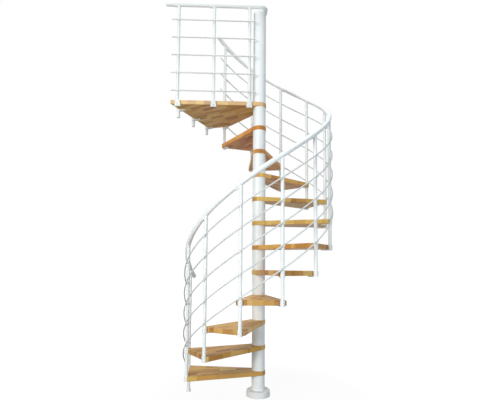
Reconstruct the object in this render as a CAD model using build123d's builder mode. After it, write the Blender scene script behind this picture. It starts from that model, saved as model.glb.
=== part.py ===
# Spiral staircase: white steel column and railing, beech treads, landing at the top.
# Millimetres. +Z is up, the origin is on the column's axis at floor level, and the
# first tread points along -X. The flight climbs counter-clockwise seen from above.
import os
from math import atan, cos, degrees, radians, sin, tan

from build123d import *

# Flight
RISE = 230.0                  # height from one tread to the next
TREAD_COUNT = 11              # treads below the landing
TREAD_TURN = 28.5             # angle from one baluster to the next, in degrees
START_ANGLE = 172.2           # angle of the first baluster
BALUSTER_CIRCLE_R = 667.0     # column axis to baluster axis
FIT = 0.3                     # clearance between round pieces that seat in each other

# Column
COLUMN_R = 61.0               # outside of the spacer sleeves
SLEEVE_WALL = 3.0
CORE_R = 30.0                 # steel tube inside the sleeves
CORE_WALL = 3.0
NEWEL_CAP_T = 9.0
NEWEL_CAP_EDGE = 3.0

# Base
BASE_PLATE_R = 100.0
BASE_PLATE_T = 8.0
ANCHOR_COUNT = 4
ANCHOR_CIRCLE_R = 80.0
ANCHOR_HOLE_R = 6.5
BASE_COVER_R = 110.0
BASE_COVER_H = 55.0
BASE_COVER_WALL = 4.0
BASE_COVER_LIP = 3.0          # width of the thin step round the cover
BASE_COVER_LIP_H = 30.0       # height of that step above the floor
BASE_COVER_ROUND = 9.0

# Treads
TREAD_T = 40.0
TREAD_SETBACK = 29.0          # straight outer edge inside the circle of balusters
HUB_R = 65.0                  # wooden ring round the column
TREAD_OVERHANG = 36.0         # how far a corner passes the baluster beside it
TREAD_CORNER_R = 10.0
ARRIS_R = 3.0                 # rounded edges of treads and landing

# Landing
LANDING_PROJECTION = 66.0     # outer edge outside the circle of balusters
LANDING_TURN = 31.2           # last baluster to the middle line of the landing
LANDING_HALF_ANGLE = 26.5     # middle line to either long side
LANDING_CUT_SIDE = 377.0      # circle of balusters to the cut's outer corner, sideways
LANDING_CUT_BACK = 166.0      # circle of balusters to the cut's inner corner, outwards

# Balusters
BALUSTER_R = 15.0
FOOT_R = 22.0
FOOT_RIM_H = 7.0
FOOT_H = 22.0
FOOT_NECK_R = 17.5
FOOT_FLOOR = 6.0              # thickness under the tube

# Corner brackets
SLEEVE_R = 20.0               # bracket sleeve round a baluster
NOTCH_GAP = 5.0               # open gap between the sleeve and the wood
TONGUE_T = 8.0
TONGUE_LENGTH = 82.0
TONGUE_TIP_R = 11.0
BRACKET_EDGE_R = 2.0
CUP_FLOOR = 3.0

# Sloping handrail
RAIL_R = 21.0
RAIL_HEIGHT = 922.0           # rail axis above the tread that the baluster passes
RAIL_LOW_END = 8.0            # turn of the rail before the first baluster
RAIL_HIGH_END = 7.2           # and past the last one
CAP_LENGTH = 14.0
CAP_ROUND = 9.0
SADDLE_DROP = 5.0             # flat part of a saddle below its seat
SADDLE_ARM = 45.0
SADDLE_ARM_W = 18.0
SADDLE_TIP_T = 2.5
SEAT_TURN = 6.0               # turn of rail that the saddle's seat is cut along

# Sloping rods
ROD_R = 6.0
ROD_COUNT = 5
ROD_FIRST = 20.0              # lowest rod above the tread that the baluster passes
ROD_PITCH = 180.0
ROD_END = 4.0                 # turn of the rods past the first and last balusters
CLIP_R = 9.0
CLIP_DROP = 4.0               # clip axis below the rod axis

# Landing railing
POST_COUNT = 3
POST_FIRST = 103.0            # column axis to the first post, along the front side
POST_PITCH = 341.0
POST_STANDOFF = 17.0          # post axis outside the landing's front face
FLAT_RAIL_HEIGHT = 945.0      # rail axis above the landing
FLAT_RAIL_END = 112.0         # rail past the last post
RAIL_BEND_R = 52.0
RAIL_TAIL = 42.0              # straight end behind the bend
RAIL_TAIL_LINE = 53.0         # column axis to that straight end
FLAT_ROD_FIRST = 77.0
FLAT_ROD_PITCH = 175.3
FLAT_ROD_END = 60.0           # rods past the first and last posts
POST_FOOT_RISE = 8.0          # foot above the landing
POST_FOOT_MID_DROP = 16.0
POST_FOOT_MID_W = 42.0
POST_FOOT_MID_T = 25.0
POST_FOOT_DROP = 62.0
POST_FOOT_W = 57.0
POST_FOOT_T = 12.0

# Brackets along the outer edge of the landing
EDGE_BRACKET_COUNT = 3
EDGE_BRACKET_INSET = 18.0     # cut corner to the bracket beside it, along the edge
EDGE_BRACKET_GAP = 2.0
STUB_LENGTH = 112.0

# Derived sizes
helix_pitch = RISE * 360.0 / TREAD_TURN
climb = atan(RISE / (radians(TREAD_TURN) * BALUSTER_CIRCLE_R))
landing_top = (TREAD_COUNT + 1) * RISE
landing_angle = START_ANGLE + TREAD_COUNT * TREAD_TURN + LANDING_TURN
front_angle = landing_angle + LANDING_HALF_ANGLE
flat_rail_z = landing_top + FLAT_RAIL_HEIGHT
newel_cap_top = flat_rail_z - RAIL_R - FIT
rod_circle_r = BALUSTER_CIRCLE_R + BALUSTER_R + FIT + ROD_R
rod_climb = atan(RISE / (radians(TREAD_TURN) * rod_circle_r))
baluster_bore_r = BALUSTER_R + FIT
baluster_bottom = -TREAD_T - TONGUE_T + CUP_FLOOR
post_line = HUB_R + POST_STANDOFF
flat_rod_line = post_line + BALUSTER_R + FIT + ROD_R
last_post = POST_FIRST + (POST_COUNT - 1) * POST_PITCH

os.makedirs("parts", exist_ok=True)


def save(part, label):
    """Label a finished piece and write it as a STEP file of the same name."""
    part.label = label
    export_step(part, "parts/" + label + ".step")


def up_flight(count, angle=0.0):
    """Place on the flight: so many treads up, turned a little further by the angle."""
    return Location((0, 0, count * RISE), (0, 0, START_ANGLE + count * TREAD_TURN + angle))


def along_front(distance, line, height):
    """Place at the landing's front side, its X axis pointing away from the column."""
    place = Location((0, 0, landing_top + height), (0, 0, front_angle))
    return place * Location((distance, line, 0))


def baluster_height(slope):
    """Distance from the top of a baluster up to the axis of the rail that it carries."""
    return RAIL_R / cos(slope) + BALUSTER_R * tan(slope) + SADDLE_DROP


# Base: a bolted steel plate under a turned cover
with BuildPart() as base_plate:
    with BuildSketch():
        Circle(BASE_PLATE_R)
        with PolarLocations(ANCHOR_CIRCLE_R, ANCHOR_COUNT, start_angle=45):
            Circle(ANCHOR_HOLE_R, mode=Mode.SUBTRACT)
    extrude(amount=BASE_PLATE_T)
save(base_plate.part, "base_plate")

with BuildPart() as base_cover:
    with BuildSketch():
        Circle(BASE_COVER_R)
    extrude(amount=BASE_COVER_LIP_H)
    with BuildSketch(Plane.XY.offset(BASE_COVER_LIP_H)):
        Circle(BASE_COVER_R - BASE_COVER_LIP)
    extrude(amount=BASE_COVER_H - BASE_COVER_LIP_H)
    fillet(base_cover.edges().group_by(Axis.Z)[-1], BASE_COVER_ROUND)
    with BuildSketch():
        Circle(BASE_COVER_R - BASE_COVER_LIP - BASE_COVER_WALL)
    extrude(amount=BASE_COVER_H - BASE_COVER_WALL, mode=Mode.SUBTRACT)
    with BuildSketch():
        Circle(COLUMN_R + FIT)
    extrude(amount=BASE_COVER_H, mode=Mode.SUBTRACT)
save(base_cover.part, "base_cover")


# Column: one core tube, and a spacer sleeve under each tread
def tube(outer_r, wall, bottom, top):
    """A round tube on the column's axis."""
    with BuildPart() as piece:
        with BuildSketch(Plane.XY.offset(bottom)):
            Circle(outer_r)
            Circle(outer_r - wall, mode=Mode.SUBTRACT)
        extrude(amount=top - bottom)
    return piece.part


newel_top = newel_cap_top - NEWEL_CAP_T
save(tube(CORE_R, CORE_WALL, BASE_PLATE_T, newel_top), "core_tube")
save(tube(COLUMN_R, SLEEVE_WALL, landing_top, newel_top), "newel_sleeve")

with BuildPart() as column_sleeves:
    for count in range(TREAD_COUNT + 1):
        sleeve_bottom = count * RISE if count else BASE_PLATE_T
        add(tube(COLUMN_R, SLEEVE_WALL, sleeve_bottom, (count + 1) * RISE - TREAD_T))
save(column_sleeves.part, "column_sleeves")

with BuildPart() as newel_cap:
    with BuildSketch(Plane.XY.offset(newel_top)):
        Circle(COLUMN_R)
    extrude(amount=NEWEL_CAP_T)
    fillet(newel_cap.edges().group_by(Axis.Z)[-1], NEWEL_CAP_EDGE)
save(newel_cap.part, "newel_cap")

# Treads: wedges with a ring round the column and a notch at each baluster
half_turn = radians(TREAD_TURN / 2)
notch_out = BALUSTER_CIRCLE_R * cos(half_turn)
notch_side = BALUSTER_CIRCLE_R * sin(half_turn)
tread_half_width = notch_side + TREAD_OVERHANG
tread_reach = BALUSTER_CIRCLE_R - TREAD_SETBACK

with BuildPart() as tread:
    with BuildSketch():
        Circle(HUB_R)
        Polygon(
            (tread_reach, tread_half_width),
            (tread_reach, -tread_half_width),
            (BALUSTER_CIRCLE_R / 2, 0),
            align=None,
        )
        make_hull()
        fillet(vertices().group_by(Axis.X)[-1], TREAD_CORNER_R)
        with Locations((notch_out, notch_side), (notch_out, -notch_side)):
            Circle(SLEEVE_R + NOTCH_GAP, mode=Mode.SUBTRACT)
        Circle(CORE_R + FIT, mode=Mode.SUBTRACT)
    extrude(amount=-TREAD_T)
    rim = tread.faces().sort_by(Axis.Z)
    fillet(rim[-1].outer_wire().edges() + rim[0].outer_wire().edges(), ARRIS_R)

for count in range(1, TREAD_COUNT + 1):
    save(tread.part.moved(up_flight(count, -TREAD_TURN / 2)), f"tread_{count:02d}")

# Landing: two long sides that touch the same ring, and one corner cut off
half_angle = radians(LANDING_HALF_ANGLE)
hub_side = HUB_R / cos(half_angle)
landing_reach = BALUSTER_CIRCLE_R + LANDING_PROJECTION
front_corner = hub_side + landing_reach * tan(half_angle)
cut_outer = BALUSTER_CIRCLE_R - LANDING_CUT_SIDE
cut_reach = BALUSTER_CIRCLE_R - LANDING_CUT_BACK
cut_side = hub_side + cut_reach * tan(half_angle)

with BuildPart() as landing:
    with BuildSketch():
        Circle(HUB_R)
        Polygon(
            (landing_reach, front_corner),
            (landing_reach, -cut_outer),
            (cut_reach, -cut_side),
            align=None,
        )
        make_hull()
        Circle(CORE_R + FIT, mode=Mode.SUBTRACT)
    extrude(amount=-TREAD_T)
    rim = landing.faces().sort_by(Axis.Z)
    fillet(rim[-1].outer_wire().edges() + rim[0].outer_wire().edges(), ARRIS_R)
landing_place = Location((0, 0, landing_top), (0, 0, landing_angle))
save(landing.part.moved(landing_place), "landing_platform")


# Corner brackets: a sleeve beside the wood on a tongue under it
def corner_bracket(bore_bottom):
    """A bracket for a baluster at angle 0 and a wooden top at height 0."""
    underside = -TREAD_T - TONGUE_T
    with BuildPart() as piece:
        with BuildSketch(Plane.XY.offset(underside)):
            with Locations((BALUSTER_CIRCLE_R, 0)):
                Circle(SLEEVE_R)
            with Locations((BALUSTER_CIRCLE_R - TONGUE_LENGTH + TONGUE_TIP_R, 0)):
                Circle(TONGUE_TIP_R)
            make_hull()
        extrude(amount=TONGUE_T)
        with BuildSketch(Plane.XY.offset(underside)):
            with Locations((BALUSTER_CIRCLE_R, 0)):
                Circle(SLEEVE_R)
        extrude(amount=TREAD_T + TONGUE_T)
        rims = piece.edges().group_by(Axis.Z)
        fillet(rims[0] + rims[-1], BRACKET_EDGE_R)
        with BuildSketch(Plane.XY.offset(bore_bottom)):
            with Locations((BALUSTER_CIRCLE_R, 0)):
                Circle(baluster_bore_r)
        extrude(amount=TREAD_T + TONGUE_T, mode=Mode.SUBTRACT)
    return piece.part


through_bracket = corner_bracket(-TREAD_T - TONGUE_T)
cup_bracket = corner_bracket(baluster_bottom)
balusters = range(TREAD_COUNT + 1)

with BuildPart() as leading_brackets:
    with Locations(*[up_flight(count + 1, -TREAD_TURN) for count in balusters]):
        add(through_bracket)
save(leading_brackets.part, "leading_brackets")

with BuildPart() as trailing_brackets:
    with Locations(*[up_flight(count) for count in balusters if count]):
        add(cup_bracket)
save(trailing_brackets.part, "trailing_brackets")

# Brackets and short tubes along the landing's outer edge
edge_shift = LANDING_PROJECTION + EDGE_BRACKET_GAP + SLEEVE_R
edge_pitch = cut_outer - EDGE_BRACKET_INSET
edge_places = [
    landing_place * Location((edge_shift, place.position.Y, 0))
    for place in GridLocations(0, edge_pitch, 1, EDGE_BRACKET_COUNT)
]
with BuildPart() as edge_brackets:
    with Locations(*edge_places):
        add(through_bracket)
save(edge_brackets.part, "edge_brackets")


# Balusters: round tubes closed at both ends, drawn solid
def upright(out, bottom, top):
    """An upright tube at a distance out from the place where it is added."""
    with BuildPart() as piece:
        with BuildSketch(Plane.XY.offset(bottom)):
            with Locations((out, 0)):
                Circle(BALUSTER_R)
        extrude(amount=top - bottom)
    return piece.part


with BuildPart() as edge_stubs:
    with Locations(*edge_places):
        add(upright(BALUSTER_CIRCLE_R, -STUB_LENGTH, 0))
save(edge_stubs.part, "edge_stubs")

sloping_top = RISE + RAIL_HEIGHT - baluster_height(climb)
first_baluster = upright(BALUSTER_CIRCLE_R, FOOT_FLOOR, sloping_top)
save(first_baluster.moved(up_flight(0)), "baluster_01")
other_baluster = upright(BALUSTER_CIRCLE_R, baluster_bottom, sloping_top)
for count in range(1, TREAD_COUNT + 1):
    save(other_baluster.moved(up_flight(count)), f"baluster_{count + 1:02d}")

with BuildPart() as floor_foot:
    with BuildSketch(Plane.XZ):
        with BuildLine():
            Polyline(
                (0, 0),
                (FOOT_R, 0),
                (FOOT_R, FOOT_RIM_H),
                (FOOT_NECK_R, FOOT_H),
                (baluster_bore_r, FOOT_H),
                (baluster_bore_r, FOOT_FLOOR),
                (0, FOOT_FLOOR),
                close=True,
            )
        make_face()
    revolve(axis=Axis.Z)
foot_place = up_flight(0) * Location((BALUSTER_CIRCLE_R, 0, 0))
save(floor_foot.part.moved(foot_place), "floor_foot")


# Handrail and rods: round bars that climb with the flight
def climbing_bar(circle_r, bar_r, low, high):
    """A round bar along the climb from one angle to another, at height 0 at angle 0."""
    with BuildPart() as piece:
        with BuildLine() as path:
            Helix(pitch=helix_pitch, height=helix_pitch * (high - low) / 360, radius=circle_r)
        with BuildSketch(Plane(origin=path.line @ 0, z_dir=path.line % 0)):
            Circle(bar_r)
        sweep(path=path.line, is_frenet=True)
    return piece.part.moved(Location((0, 0, low / TREAD_TURN * RISE), (0, 0, low)))


rail_high = TREAD_COUNT * TREAD_TURN + RAIL_HIGH_END
rail = climbing_bar(BALUSTER_CIRCLE_R, RAIL_R, -RAIL_LOW_END, rail_high)
save(rail.moved(up_flight(0) * Location((0, 0, RISE + RAIL_HEIGHT))), "sloping_handrail")

rod_high = TREAD_COUNT * TREAD_TURN + ROD_END
rod = climbing_bar(rod_circle_r, ROD_R, -ROD_END, rod_high)
rod_heights = [RISE + ROD_FIRST + number * ROD_PITCH for number in range(ROD_COUNT)]
for number, height in enumerate(rod_heights, start=1):
    save(rod.moved(up_flight(0) * Location((0, 0, height))), f"sloping_rod_{number}")

# Landing handrail: straight along the front, then bent back over the column
front_plane = Plane.XY.offset(flat_rail_z).rotated((0, 0, front_angle))
with BuildPart() as landing_handrail:
    with BuildLine(front_plane) as flat_path:
        FilletPolyline(
            (last_post + FLAT_RAIL_END, post_line),
            (-RAIL_TAIL_LINE, post_line),
            (-RAIL_TAIL_LINE, post_line - RAIL_BEND_R - RAIL_TAIL),
            radius=RAIL_BEND_R,
        )
    with BuildSketch(Plane(origin=flat_path.line @ 0, z_dir=flat_path.line % 0)):
        Circle(RAIL_R)
    sweep(path=flat_path.line)
save(landing_handrail.part, "landing_handrail")


# Rounded caps on the open ends of the handrails
def rail_end(turn, side):
    """Place of the sloping rail's low or high end, its Z axis pointing off the rail."""
    rise = RISE + RAIL_HEIGHT + turn / TREAD_TURN * RISE
    place = up_flight(0, turn) * Location((BALUSTER_CIRCLE_R, 0, rise))
    return place * Location((0, 0, 0), (degrees(climb) - side * 90, 0, 0))


with BuildPart() as end_cap:
    with BuildSketch():
        Circle(RAIL_R)
    extrude(amount=CAP_LENGTH)
    fillet(end_cap.edges().group_by(Axis.Z)[-1], CAP_ROUND)

cap_places = [
    rail_end(-RAIL_LOW_END, -1),
    rail_end(rail_high, 1),
    Plane(origin=flat_path.line @ 0, z_dir=-(flat_path.line % 0)).location,
    Plane(origin=flat_path.line @ 1, z_dir=flat_path.line % 1).location,
]
with BuildPart() as rail_caps:
    with Locations(*cap_places):
        add(end_cap.part)
save(rail_caps.part, "handrail_end_caps")


# Saddles between the balusters and the handrails
def rail_saddle(out, slope, seat):
    """A saddle with a thin arm down the rail, for a rail axis at height 0."""
    top = -baluster_height(slope)
    arm_drop = SADDLE_ARM * tan(slope)
    tip = -arm_drop - RAIL_R / cos(slope) - SADDLE_TIP_T
    with BuildPart() as piece:
        with BuildSketch(Plane.XY.offset(top)):
            with Locations((out, 0)):
                Circle(BALUSTER_R)
        extrude(amount=-top)
        with BuildSketch(Plane.YZ.offset(out)):
            Polygon(
                (0, 0),
                (-SADDLE_ARM, -arm_drop),
                (-SADDLE_ARM, tip),
                (-BALUSTER_R, top),
                (0, top),
                align=None,
            )
        extrude(amount=SADDLE_ARM_W / 2, both=True)
        add(seat, mode=Mode.SUBTRACT)
    return piece.part


sloping_seat = climbing_bar(BALUSTER_CIRCLE_R, RAIL_R + FIT, -SEAT_TURN, SEAT_TURN)
sloping_saddle = rail_saddle(BALUSTER_CIRCLE_R, climb, sloping_seat)
flat_seat = Cylinder(
    RAIL_R + FIT, 4 * SADDLE_ARM, rotation=(90, 0, 0), mode=Mode.PRIVATE
)
flat_saddle = rail_saddle(0, 0, flat_seat)
rail_lift = Location((0, 0, RISE + RAIL_HEIGHT))
post_places = [POST_FIRST + number * POST_PITCH for number in range(POST_COUNT)]

with BuildPart() as rail_saddles:
    with Locations(*[up_flight(count) * rail_lift for count in balusters]):
        add(sloping_saddle)
    with Locations(*[
        along_front(place, post_line, FLAT_RAIL_HEIGHT) * Location((0, 0, 0), (0, 0, 90))
        for place in post_places
    ]):
        add(flat_saddle)
save(rail_saddles.part, "rail_saddles")


# Small cradles that hold each rod against a baluster
def rod_clip(out, rod_line, slope, channel):
    """A cradle under a rod at height 0, beside a baluster at a distance out."""
    with BuildPart() as piece:
        with BuildSketch(Plane.YZ.offset(out)):
            with Locations((CLIP_DROP * sin(slope), -CLIP_DROP * cos(slope))):
                Circle(CLIP_R)
        extrude(amount=rod_line - out + ROD_R / 2)
        with BuildSketch(Plane.XY.offset(-2 * CLIP_R)):
            with Locations((out, 0)):
                Circle(baluster_bore_r)
        extrude(amount=4 * CLIP_R, mode=Mode.SUBTRACT)
        add(channel, mode=Mode.SUBTRACT)
    return piece.part


sloping_channel = climbing_bar(rod_circle_r, ROD_R + FIT, -ROD_END / 2, ROD_END / 2)
sloping_clip = rod_clip(BALUSTER_CIRCLE_R, rod_circle_r, rod_climb, sloping_channel)
flat_channel = Cylinder(ROD_R + FIT, 4 * CLIP_R, rotation=(90, 0, 0), mode=Mode.PRIVATE)
flat_channel = flat_channel.moved(Location((flat_rod_line - post_line, 0, 0)))
flat_clip = rod_clip(0, flat_rod_line - post_line, 0, flat_channel)
flat_heights = [FLAT_ROD_FIRST + number * FLAT_ROD_PITCH for number in range(ROD_COUNT)]

with BuildPart() as rod_clips:
    for height in rod_heights:
        with Locations(*[
            up_flight(count) * Location((0, 0, height)) for count in balusters
        ]):
            add(sloping_clip)
save(rod_clips.part, "sloping_rod_clips")

with BuildPart() as flat_rod_clips:
    for height in flat_heights:
        with Locations(*[
            along_front(place, post_line, height) * Location((0, 0, 0), (0, 0, 90))
            for place in post_places
        ]):
            add(flat_clip)
save(flat_rod_clips.part, "landing_rod_clips")

# Landing railing: posts on flattened feet, and straight rods
with BuildPart() as landing_posts:
    with Locations(*[along_front(place, post_line, 0) for place in post_places]):
        add(upright(0, POST_FOOT_RISE, FLAT_RAIL_HEIGHT - baluster_height(0)))
save(landing_posts.part, "landing_posts")

with BuildPart() as post_foot:
    with BuildSketch(Plane.XY.offset(POST_FOOT_RISE)):
        Circle(BALUSTER_R)
    with BuildSketch(Plane.XY.offset(-POST_FOOT_MID_DROP)):
        with Locations((0, POST_FOOT_MID_T / 2 - POST_STANDOFF)):
            Rectangle(POST_FOOT_MID_W, POST_FOOT_MID_T)
    loft()
    with BuildSketch(Plane.XY.offset(-POST_FOOT_MID_DROP)):
        with Locations((0, POST_FOOT_MID_T / 2 - POST_STANDOFF)):
            Rectangle(POST_FOOT_MID_W, POST_FOOT_MID_T)
    with BuildSketch(Plane.XY.offset(-POST_FOOT_DROP)):
        with Locations((0, POST_FOOT_T / 2 - POST_STANDOFF)):
            Rectangle(POST_FOOT_W, POST_FOOT_T)
    loft()
with BuildPart() as post_feet:
    with Locations(*[along_front(place, post_line, 0) for place in post_places]):
        add(post_foot.part)
save(post_feet.part, "landing_post_feet")

with BuildPart() as flat_rod:
    with BuildSketch(Plane.YZ.offset(POST_FIRST - FLAT_ROD_END)):
        Circle(ROD_R)
    extrude(amount=last_post - POST_FIRST + 2 * FLAT_ROD_END)
with BuildPart() as landing_rods:
    with Locations(*[along_front(0, flat_rod_line, height) for height in flat_heights]):
        add(flat_rod.part)
save(landing_rods.part, "landing_rods")
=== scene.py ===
"""Looks of the spiral staircase: powder-coated steel, moulded fittings and lacquered beech."""

from math import atan2, cos, sin

import bpy
from mathutils import Matrix, Vector


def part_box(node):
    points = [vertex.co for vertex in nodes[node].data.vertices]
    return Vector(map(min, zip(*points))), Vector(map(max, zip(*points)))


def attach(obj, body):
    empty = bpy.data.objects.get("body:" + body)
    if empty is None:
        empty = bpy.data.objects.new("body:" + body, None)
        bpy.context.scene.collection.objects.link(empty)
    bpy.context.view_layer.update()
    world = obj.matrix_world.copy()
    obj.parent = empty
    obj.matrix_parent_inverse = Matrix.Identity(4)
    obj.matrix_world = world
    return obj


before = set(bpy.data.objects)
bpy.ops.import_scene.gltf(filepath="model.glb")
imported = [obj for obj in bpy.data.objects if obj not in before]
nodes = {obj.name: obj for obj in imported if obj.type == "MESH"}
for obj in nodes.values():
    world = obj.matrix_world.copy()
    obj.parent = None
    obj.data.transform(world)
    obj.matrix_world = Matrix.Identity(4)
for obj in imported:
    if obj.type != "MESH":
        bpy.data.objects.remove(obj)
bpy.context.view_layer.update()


# Shader helpers
def linear(code):
    """An sRGB colour written as hex, turned into the linear colour that a shader takes."""
    parts = [int(code[i : i + 2], 16) / 255 for i in (1, 3, 5)]
    return (*[c / 12.92 if c <= 0.04045 else ((c + 0.055) / 1.055) ** 2.4 for c in parts], 1.0)


def add(tree, kind, inputs, **settings):
    """A new node. Each input is a value, or the socket that feeds it."""
    node = tree.nodes.new("ShaderNode" + kind)
    for name, value in settings.items():
        setattr(node, name, value)
    for name, value in inputs.items():
        if isinstance(value, bpy.types.NodeSocket):
            tree.links.new(value, node.inputs[name])
        else:
            node.inputs[name].default_value = value
    return node


def math_node(tree, operation, a, b=0.0):
    return add(tree, "Math", {0: a, 1: b}, operation=operation).outputs[0]


def mix_colours(tree, factor, a, b, blend="MIX"):
    node = add(tree, "Mix", {0: factor, 6: a, 7: b}, data_type="RGBA", blend_type=blend)
    return node.outputs[2]


def ramp(tree, factor, stops):
    """A colour ramp through (position, hex colour) stops."""
    node = add(tree, "ValToRGB", {"Fac": factor})
    elements = node.color_ramp.elements
    while len(elements) < len(stops):
        elements.new(0.5)
    for element, (position, code) in zip(elements, stops):
        element.position = position
        element.color = linear(code)
    return node.outputs["Color"]


def new_material(name, **surface):
    """A material with one Principled shader, and its tree and shader."""
    material = bpy.data.materials.new(name)
    material.use_nodes = True
    tree = material.node_tree
    shader = tree.nodes["Principled BSDF"]
    for socket, value in surface.items():
        shader.inputs[socket.replace("_", " ")].default_value = value
    return material, tree, shader


def link(tree, output, shader, socket):
    tree.links.new(output, shader.inputs[socket])


def noise(tree, vector, scale, detail=3.0, roughness=0.5):
    inputs = {"Vector": vector, "Scale": scale, "Detail": detail, "Roughness": roughness}
    return add(tree, "TexNoise", inputs).outputs["Fac"]


def remap(tree, value, low, high, out_low=0.0, out_high=1.0):
    inputs = {
        "Value": value,
        "From Min": low,
        "From Max": high,
        "To Min": out_low,
        "To Max": out_high,
    }
    return add(tree, "MapRange", inputs).outputs["Result"]


def bump(tree, height, distance, strength=1.0):
    inputs = {"Height": height, "Distance": distance, "Strength": strength}
    return add(tree, "Bump", inputs).outputs["Normal"]


# Materials
def coated_metal(name, colour, shade, rough, peel_mm):
    """Polyester powder baked on metal: fine orange peel, and a film that isn't quite even.

    The film's tone drifts over about 110 mm. The peel is as coarse as the size given.
    """
    material, tree, shader = new_material(name, IOR=1.52, Coat_Weight=0.05, Coat_Roughness=0.15)
    place = add(tree, "TexCoord", {}).outputs["Object"]
    film = noise(tree, place, 9.0, 2.0)
    tint = mix_colours(tree, remap(tree, film, 0.35, 0.65), linear(colour), linear(shade))
    link(tree, tint, shader, "Base Color")
    link(tree, remap(tree, film, 0.3, 0.7, rough - 0.04, rough + 0.05), shader, "Roughness")
    peel = noise(tree, place, 1000 / peel_mm, 1.0)
    link(tree, bump(tree, peel, 0.00004, 0.6), shader, "Normal")
    return material


def moulded_plastic(name, colour, shade):
    """Injection-moulded nylon: faint flow clouds, 33 mm wide, and a spark-eroded 0.5 mm grain."""
    material, tree, shader = new_material(name, IOR=1.5)
    place = add(tree, "TexCoord", {}).outputs["Object"]
    flow = noise(tree, place, 30.0, 2.0)
    link(tree, mix_colours(tree, flow, linear(colour), linear(shade)), shader, "Base Color")
    link(tree, remap(tree, flow, 0.3, 0.7, 0.36, 0.46), shader, "Roughness")
    grain = noise(tree, place, 2200.0, 2.0)
    link(tree, bump(tree, grain, 0.00002, 0.5), shader, "Normal")
    return material


def zinc_plate(name):
    """Zinc-plated steel: grey spangles of 5 to 6 mm under a dull shine."""
    material, tree, shader = new_material(name, Metallic=1.0)
    place = add(tree, "TexCoord", {}).outputs["Object"]
    cells = add(tree, "TexVoronoi", {"Vector": place, "Scale": 180.0}).outputs["Color"]
    value = add(tree, "SeparateColor", {"Color": cells}).outputs["Red"]
    link(tree, ramp(tree, value, [(0, "#9EA2A4"), (1, "#BFC3C5")]), shader, "Base Color")
    link(tree, remap(tree, value, 0, 1, 0.32, 0.5), shader, "Roughness")
    link(tree, bump(tree, noise(tree, place, 400.0), 0.00003, 0.5), shader, "Normal")
    return material


STAVE_WIDTH = 0.042
PIECE_LENGTH = 0.15  # of the short pieces that are glued end to end in a stave
# How far upright faces are mixed towards pale cream: painted sheen, on the landing and on the
# treads
LANDING_PAINTED_SHEEN = 0.36
TREAD_PAINTED_SHEEN = 0.08

# Wood of single pieces, from the darkest to the palest
BEECH_TONES = [
    (0.0, "#9E5816"),
    (0.22, "#C88C36"),
    (0.5, "#DDAA54"),
    (0.85, "#E6B864"),
    (1.0, "#F2D08A"),
]

# What the wood of each tread is multiplied by, from the lowest up, and the landing's last
TREAD_TINTS = ["#FAFBE8", "#EEE6CC", "#FFFFF6", "#FFFDF0", "#FFFBE8", "#FAEED6"]
TREAD_TINTS += ["#F6FADC", "#F4F8DC", "#FFF6E4", "#FFEAD0", "#FFDCBC", "#FFFFFF"]


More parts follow.
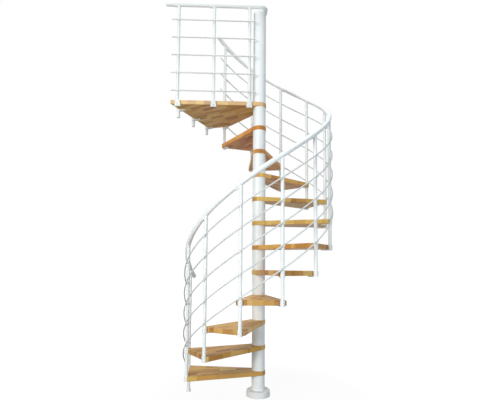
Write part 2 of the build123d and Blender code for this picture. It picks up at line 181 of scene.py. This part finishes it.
def beech(name, turn, seed, tint, painted_sheen):
    """Lacquered beech staves glued side by side and end to end, running along the tread.

    The pieces differ in tone. Each has long grain about 450 by 17 mm, fibres 70 by 1.1 mm,
    ray flecks 6 by 0.8 mm, coarser than real ones so that they show, and a thin glue line.
    The sawn ends are a little darker, as they take up more lacquer.
    """
    material, tree, shader = new_material(
        name, IOR=1.5, Specular_IOR_Level=0.22, Coat_Weight=0.05, Coat_Roughness=0.3
    )
    coordinates = add(tree, "TexCoord", {}).outputs
    turned = {"Vector": coordinates["Object"], "Rotation": (0, 0, -turn)}
    turned["Location"] = (0, STAVE_WIDTH * (0.5 + 0.17 * (seed % 5)), 0)
    local = add(tree, "Mapping", turned, vector_type="POINT").outputs[0]
    split = add(tree, "SeparateXYZ", {0: local}).outputs
    across = math_node(tree, "DIVIDE", split[1], STAVE_WIDTH)
    stave = math_node(tree, "FLOOR", across)
    shift = add(
        tree,
        "TexWhiteNoise",
        {"W": math_node(tree, "ADD", stave, seed * 13.7)},
        noise_dimensions="1D",
    ).outputs["Value"]
    along = math_node(tree, "DIVIDE", split[0], PIECE_LENGTH)
    along = math_node(tree, "ADD", along, math_node(tree, "MULTIPLY", shift, 7.0))
    piece = math_node(tree, "FLOOR", along)
    cell = add(tree, "CombineXYZ", {0: stave, 1: piece, 2: float(seed)}).outputs[0]
    tone = add(tree, "TexWhiteNoise", {"Vector": cell}, noise_dimensions="3D").outputs["Value"]

    # Each piece of wood takes its own place in the grain
    offset = add(tree, "CombineXYZ", {1: math_node(tree, "MULTIPLY", tone, 31.0)}).outputs[0]
    moved = add(tree, "VectorMath", {0: local, 1: offset}, operation="ADD").outputs[0]

    def stretched(lengthways, crossways):
        scale = (lengthways, crossways, crossways)
        return add(tree, "Mapping", {"Vector": moved, "Scale": scale}).outputs[0]

    long_grain = noise(tree, stretched(2.2, 60.0), 1.0, 4.0, 0.55)
    fibres = noise(tree, stretched(14.0, 900.0), 1.0, 2.0)
    flecks = noise(tree, stretched(160.0, 1300.0), 1.0, 1.0)

    base = ramp(tree, tone, BEECH_TONES)
    streaks = remap(tree, long_grain, 0.32, 0.7)
    wood = mix_colours(tree, math_node(tree, "MULTIPLY", streaks, 0.3), base, linear("#F0CE8C"))
    wood = mix_colours(
        tree, remap(tree, long_grain, 0.5, 0.78, 0, 0.45), wood, linear("#B07A36")
    )
    wood = mix_colours(tree, remap(tree, fibres, 0.35, 0.75, 0, 0.2), wood, linear("#9A6C34"))
    wood = mix_colours(tree, remap(tree, flecks, 0.66, 0.74, 0, 0.5), wood, linear("#7A4A24"))

    # Glue lines between staves and at the butt joints
    side = math_node(tree, "PINGPONG", across, 0.5)
    butt = math_node(tree, "PINGPONG", along, 0.5)
    glue = math_node(
        tree,
        "MAXIMUM",
        remap(tree, side, 0.0, 0.012, 0.55, 0.0),
        remap(tree, butt, 0.0, 0.002, 0.55, 0.0),
    )
    wood = mix_colours(tree, glue, wood, linear("#5E3A1C"))

    # Which way a face looks: along the tread, across it or up
    facing = {"Vector": coordinates["Normal"], "Rotation": (0, 0, -turn)}
    facing = add(tree, "Mapping", facing, vector_type="VECTOR").outputs[0]
    facing = add(tree, "SeparateXYZ", {0: facing}).outputs

    # Painted sheen: upright faces are mixed towards pale cream, standing in for the front lamp's
    # light and the lacquer's gloss on the edges, most of all on the landing
    edge = remap(tree, math_node(tree, "ABSOLUTE", facing[2]), 0.1, 0.3, painted_sheen, 0.0)
    wood = mix_colours(tree, edge, wood, linear("#F3E4C4"))

    # Sawn ends
    sawn = remap(tree, math_node(tree, "ABSOLUTE", facing[0]), 0.8, 0.93)
    rings = noise(tree, stretched(30.0, 110.0), 1.0, 3.0)
    ends = ramp(tree, rings, [(0.25, "#6F4220"), (0.55, "#8C5A2E"), (0.8, "#A9743F")])
    wood = mix_colours(tree, math_node(tree, "MULTIPLY", sawn, 0.28), wood, ends)

    wood = mix_colours(tree, 1.0, wood, linear(tint), "MULTIPLY")

    link(tree, wood, shader, "Base Color")
    link(tree, remap(tree, fibres, 0.2, 0.8, 0.42, 0.56), shader, "Roughness")
    relief = math_node(tree, "ADD", fibres, math_node(tree, "MULTIPLY", glue, -1.2))
    link(tree, bump(tree, relief, 0.00005, 0.7), shader, "Normal")
    return material


white_steel = coated_metal("powder_coated_tube", "#F2F6F7", "#EDF2F3", 0.42, 1.6)
# The rods take a greyer copy of the white powder coat: painted shade, standing in for the shade
# on the rods' undersides
shade_painted_rod_coat = coated_metal("powder_coated_rod_painted_shade", "#D6DBDB", "#CDD3D3", 0.4, 1.6)
white_cast = coated_metal("powder_coated_casting", "#F1F4F4", "#EAEEEE", 0.46, 2.4)
white_plastic = moulded_plastic("moulded_nylon", "#F2F4F3", "#ECEFEE")
zinc = zinc_plate("zinc_plated_steel")

STEEL = ("column_sleeves", "newel_sleeve", "baluster", "landing_posts", "edge_stubs")
STEEL += ("sloping_handrail", "landing_handrail")
RODS = ("sloping_rod", "landing_rods")
CAST = ("leading_brackets", "trailing_brackets", "edge_brackets", "rail_saddles")
CAST += ("landing_post_feet",)
ZINC = ("core_tube", "base_plate")


def dress(node, material):
    for slot in node.material_slots:
        slot.material = material


def outward_turn(name):
    """Angle of a tread's middle line, from the middle of its box seen from the column."""
    low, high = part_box(name)
    middle = (low + high) / 2
    return atan2(middle.y, middle.x)


for name, node in nodes.items():
    wooden = name.startswith("tread_") or name == "landing_platform"
    if wooden:
        seed = int(name[-2:]) if name.startswith("tread_") else len(TREAD_TINTS)
        tint = TREAD_TINTS[seed - 1]
        painted_sheen = TREAD_PAINTED_SHEEN if name.startswith("tread_") else LANDING_PAINTED_SHEEN
        dress(node, beech("beech_" + name, outward_turn(name), seed, tint, painted_sheen))
    elif name in ZINC:
        dress(node, zinc)
    elif name.startswith(CAST):
        dress(node, white_cast)
    elif name.startswith(STEEL):
        dress(node, white_steel)
    elif name.startswith(RODS) and "clips" not in name:
        dress(node, shade_painted_rod_coat)
    else:
        dress(node, white_plastic)


# Small fastenings, each turned once and copied to its places
UP = Vector((0, 0, 1))
SEAT_DEPTH = 0.0002  # a button's flat side inside the face that it sits on

# Sizes of the pieces that carry them, as in the solids
TONGUE_T = 0.008
SLEEVE_R = 0.020
TUBE_R = 0.015
ROD_R = 0.006
ROD_COUNT = 5
POST_COUNT = 3
ROD_OVERHANG = 0.060  # from an outer post's axis to the end of a landing rod
FOOT_FALL = 0.046  # a post's foot falls this far while it sets back by the next one
FOOT_SET_BACK = 0.013

# Where the screws sit
TONGUE_SCREWS = (0.036, 0.062)  # baluster's axis to the two screws through a tongue
SLEEVE_SCREW_RISE = 0.02  # above the wood's underside
FOOT_SCREW_DROP = 0.045  # below the landing's top

# Radius, height and depth of the socket
TONGUE_BUTTON = (0.0055, 0.0025, 0.0018)
SLEEVE_BUTTON = (0.0030, 0.0010, 0.0008)
FOOT_BUTTON = (0.0060, 0.0030, 0.0020)
ROD_PLUG = (0.0056, 0.0015, 0.0)


def turned_button(radius, height, socket):
    """A domed button standing on the floor at the origin, with a socket of that depth."""
    bpy.ops.object.select_all(action="DESELECT")
    bpy.ops.mesh.primitive_cylinder_add(
        vertices=18, radius=radius, depth=height, location=(0, 0, height / 2)
    )
    button = bpy.context.object
    bpy.ops.object.transform_apply(location=True)
    for face in button.data.polygons:
        face.select = face.normal.z > 0.9
    bpy.ops.object.mode_set(mode="EDIT")
    bpy.ops.mesh.select_mode(type="FACE")
    bpy.ops.mesh.inset(thickness=0.25 * radius)
    bpy.ops.transform.translate(value=(0, 0, 0.25 * height))
    bpy.ops.mesh.inset(thickness=0.3 * radius)
    bpy.ops.transform.translate(value=(0, 0, 0.08 * height))
    if socket:
        bpy.ops.mesh.extrude_region_move(TRANSFORM_OT_translate={"value": (0, 0, -socket)})
    bpy.ops.object.mode_set(mode="OBJECT")
    return button


def place_buttons(name, button, places, material):
    """One piece with a copy of the button at each point, standing along its direction."""
    corners, faces = [], []
    for point, outward in places:
        turn = outward.to_track_quat("Z", "Y").to_matrix()
        seat = point - outward * SEAT_DEPTH
        first = len(corners)
        corners += [turn @ corner.co + seat for corner in button.data.vertices]
        faces += [[first + index for index in face.vertices] for face in button.data.polygons]
    mesh = bpy.data.meshes.new(name)
    mesh.from_pydata(corners, [], faces)
    mesh.materials.append(material)
    piece = bpy.data.objects.new(name, mesh)
    bpy.context.scene.collection.objects.link(piece)
    bpy.data.objects.remove(button)
    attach(piece, "root")


def axis_of(name):
    """Foot of a round node's upright axis."""
    low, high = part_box(name)
    return Vector(((low.x + high.x) / 2, (low.y + high.y) / 2, 0))


treads = sorted(name for name in nodes if name.startswith("tread_"))
balusters = [axis_of(name) for name in sorted(nodes) if name.startswith("baluster_")]
landing_low, landing_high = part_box("landing_platform")

# Brackets as (axis, direction towards the wood, underside of the wood)
brackets = []
for level, name in enumerate(treads):
    for axis in balusters[level : level + 2]:
        brackets.append((axis, -axis.normalized(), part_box(name)[0].z))
brackets.append((balusters[-1], -balusters[-1].normalized(), landing_low.z))

stub_low, stub_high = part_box("edge_stubs")
middle_stub = axis_of("edge_stubs")
landing_out = middle_stub.normalized()
landing_side = UP.cross(landing_out)
stub_pitch = ((stub_high.x - stub_low.x) / 2 - TUBE_R) / abs(landing_side.x)
for step in (-1, 0, 1):
    brackets.append((middle_stub + step * stub_pitch * landing_side, -landing_out, landing_low.z))

tongue_places, sleeve_places = [], []
for axis, inward, underside in brackets:
    for reach in TONGUE_SCREWS:
        tongue_places.append((axis + inward * reach + UP * (underside - TONGUE_T), -UP))
    rise = UP * (underside + SLEEVE_SCREW_RISE)
    sleeve_places.append((axis - inward * SLEEVE_R + rise, -inward))

# The posts stand along the landing's front, and their feet slope back downwards
post_low, post_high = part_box("landing_posts")
near_post = Vector((post_high.x - TUBE_R, post_high.y - TUBE_R, 0))
far_post = Vector((post_low.x + TUBE_R, post_low.y + TUBE_R, 0))
front_run = (far_post - near_post).normalized()
front_out = front_run.cross(UP) * -1
foot_face = (front_out * FOOT_FALL - UP * FOOT_SET_BACK).normalized()
foot_rise = UP * (landing_high.z - FOOT_SCREW_DROP)
foot_places = []
for step in range(POST_COUNT):
    post = near_post.lerp(far_post, step / (POST_COUNT - 1))
    foot_places.append((post + foot_rise, foot_face))

rod_low, rod_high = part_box("landing_rods")
rod_line = front_out * (TUBE_R + ROD_R)
rod_reach = front_run * ROD_OVERHANG
rod_spread = rod_high.z - rod_low.z - 2 * ROD_R
plug_places = []
for step in range(ROD_COUNT):
    height = UP * (rod_low.z + ROD_R + step / (ROD_COUNT - 1) * rod_spread)
    plug_places.append((near_post - rod_reach + rod_line + height, -front_run))
    plug_places.append((far_post + rod_reach + rod_line + height, front_run))

place_buttons("tongue_screws", turned_button(*TONGUE_BUTTON), tongue_places, zinc)
place_buttons("sleeve_screws", turned_button(*SLEEVE_BUTTON), sleeve_places, zinc)
place_buttons("foot_screws", turned_button(*FOOT_BUTTON), foot_places, zinc)
place_buttons("rod_plugs", turned_button(*ROD_PLUG), plug_places, white_plastic)


# Studio
WHITE = (1, 1, 1, 1)
STUDIO_GREY = (0.30, 0.33, 0.35, 1)  # light that the surroundings give, a little cool
FLOOR_GLOW = 1.1
SHADE_REACH = (0.9, 2.6)  # the floor's own shade fades out between these distances
NEAR_WHITENESS = 0.86


def area_lamp(name, place, target, size, power, colour):
    data = bpy.data.lights.new(name, "AREA")
    data.shape = "SQUARE"
    data.size = size
    data.energy = power
    data.color = linear(colour)[:3]
    lamp = bpy.data.objects.new(name, data)
    bpy.context.scene.collection.objects.link(lamp)
    lamp.location = place
    lamp.rotation_euler = (Vector(target) - Vector(place)).to_track_quat("-Z", "Y").to_euler()


area_lamp("key", (-3.1, -4.9, 2.8), (0, 0, 1.5), 2.0, 200, "#FFFDF8")
area_lamp("top", (0.1, -0.6, 7.0), (0, 0, 2.0), 2.6, 120, "#FFFFFF")
area_lamp("fill", (2.2, -4.4, 0.7), (0, 0, 0.6), 1.8, 60, "#EAF4FF")


def seen_ray(tree):
    """1 for rays that show the surroundings: from the camera, off gloss and through glass."""
    path = add(tree, "LightPath", {}).outputs
    seen = math_node(tree, "MAXIMUM", path["Is Camera Ray"], path["Is Glossy Ray"])
    return math_node(tree, "MAXIMUM", seen, path["Is Transmission Ray"])


world = bpy.data.worlds.new("studio")
bpy.context.scene.world = world
world.use_nodes = True
tree = world.node_tree
background = tree.nodes["Background"]
output = tree.nodes["World Output"]
background.inputs["Color"].default_value = STUDIO_GREY
background.inputs["Strength"].default_value = 1.0
white = add(tree, "Background", {"Color": WHITE, "Strength": 1.0})
shown = add(tree, "MixShader", {0: seen_ray(tree), 1: background.outputs[0], 2: white.outputs[0]})
tree.links.new(shown.outputs[0], output.inputs["Surface"])

bpy.ops.mesh.primitive_plane_add(size=60, location=(0, 0, 0))
floor = bpy.context.object
floor.name = "floor"
material, tree, shader = new_material("pale_floor", Roughness=0.9)
shader.inputs["Base Color"].default_value = linear("#A6A6A4")
glow = add(tree, "Emission", {"Color": WHITE, "Strength": FLOOR_GLOW})

# Close to the stair some of the floor's own shade stays, so that the shadow shows
place = add(tree, "TexCoord", {}).outputs["Object"]
distance = add(tree, "VectorMath", {0: place}, operation="LENGTH").outputs["Value"]
whiteness = remap(tree, distance, *SHADE_REACH, NEAR_WHITENESS, 1.0)
seen = math_node(tree, "MULTIPLY", seen_ray(tree), whiteness)
shown = add(tree, "MixShader", {0: seen, 1: shader.outputs[0], 2: glow.outputs[0]})
tree.links.new(shown.outputs[0], tree.nodes["Material Output"].inputs["Surface"])
floor.data.materials.append(material)

# Camera, solved from the treads and balusters in the photograph
FRAME_PX = 500
FOCAL_PX = 387.11
SHIFT_PX = 36.54
SENSOR_MM = 36.0
EYE = (0, -3.6708, 1.1845)
YAW, PITCH, ROLL = -0.02282, 0.07672, 0.00648
camera_data = bpy.data.cameras.new("camera")
camera = bpy.data.objects.new("camera", camera_data)
bpy.context.scene.collection.objects.link(camera)
bpy.context.scene.camera = camera
camera_data.sensor_width = SENSOR_MM
camera_data.lens = FOCAL_PX / FRAME_PX * SENSOR_MM
camera_data.shift_y = SHIFT_PX / FRAME_PX
forward = Vector((sin(YAW) * cos(PITCH), cos(YAW) * cos(PITCH), sin(PITCH)))
right = Vector((cos(YAW), -sin(YAW), 0))
up = right.cross(forward)
right, up = right * cos(ROLL) + up * sin(ROLL), up * cos(ROLL) - right * sin(ROLL)
camera.matrix_world = Matrix.Translation(EYE) @ Matrix(
    (
        (right.x, up.x, -forward.x),
        (right.y, up.y, -forward.y),
        (right.z, up.z, -forward.z),
    )
).to_4x4()

bpy.context.scene.view_settings.view_transform = "Standard"
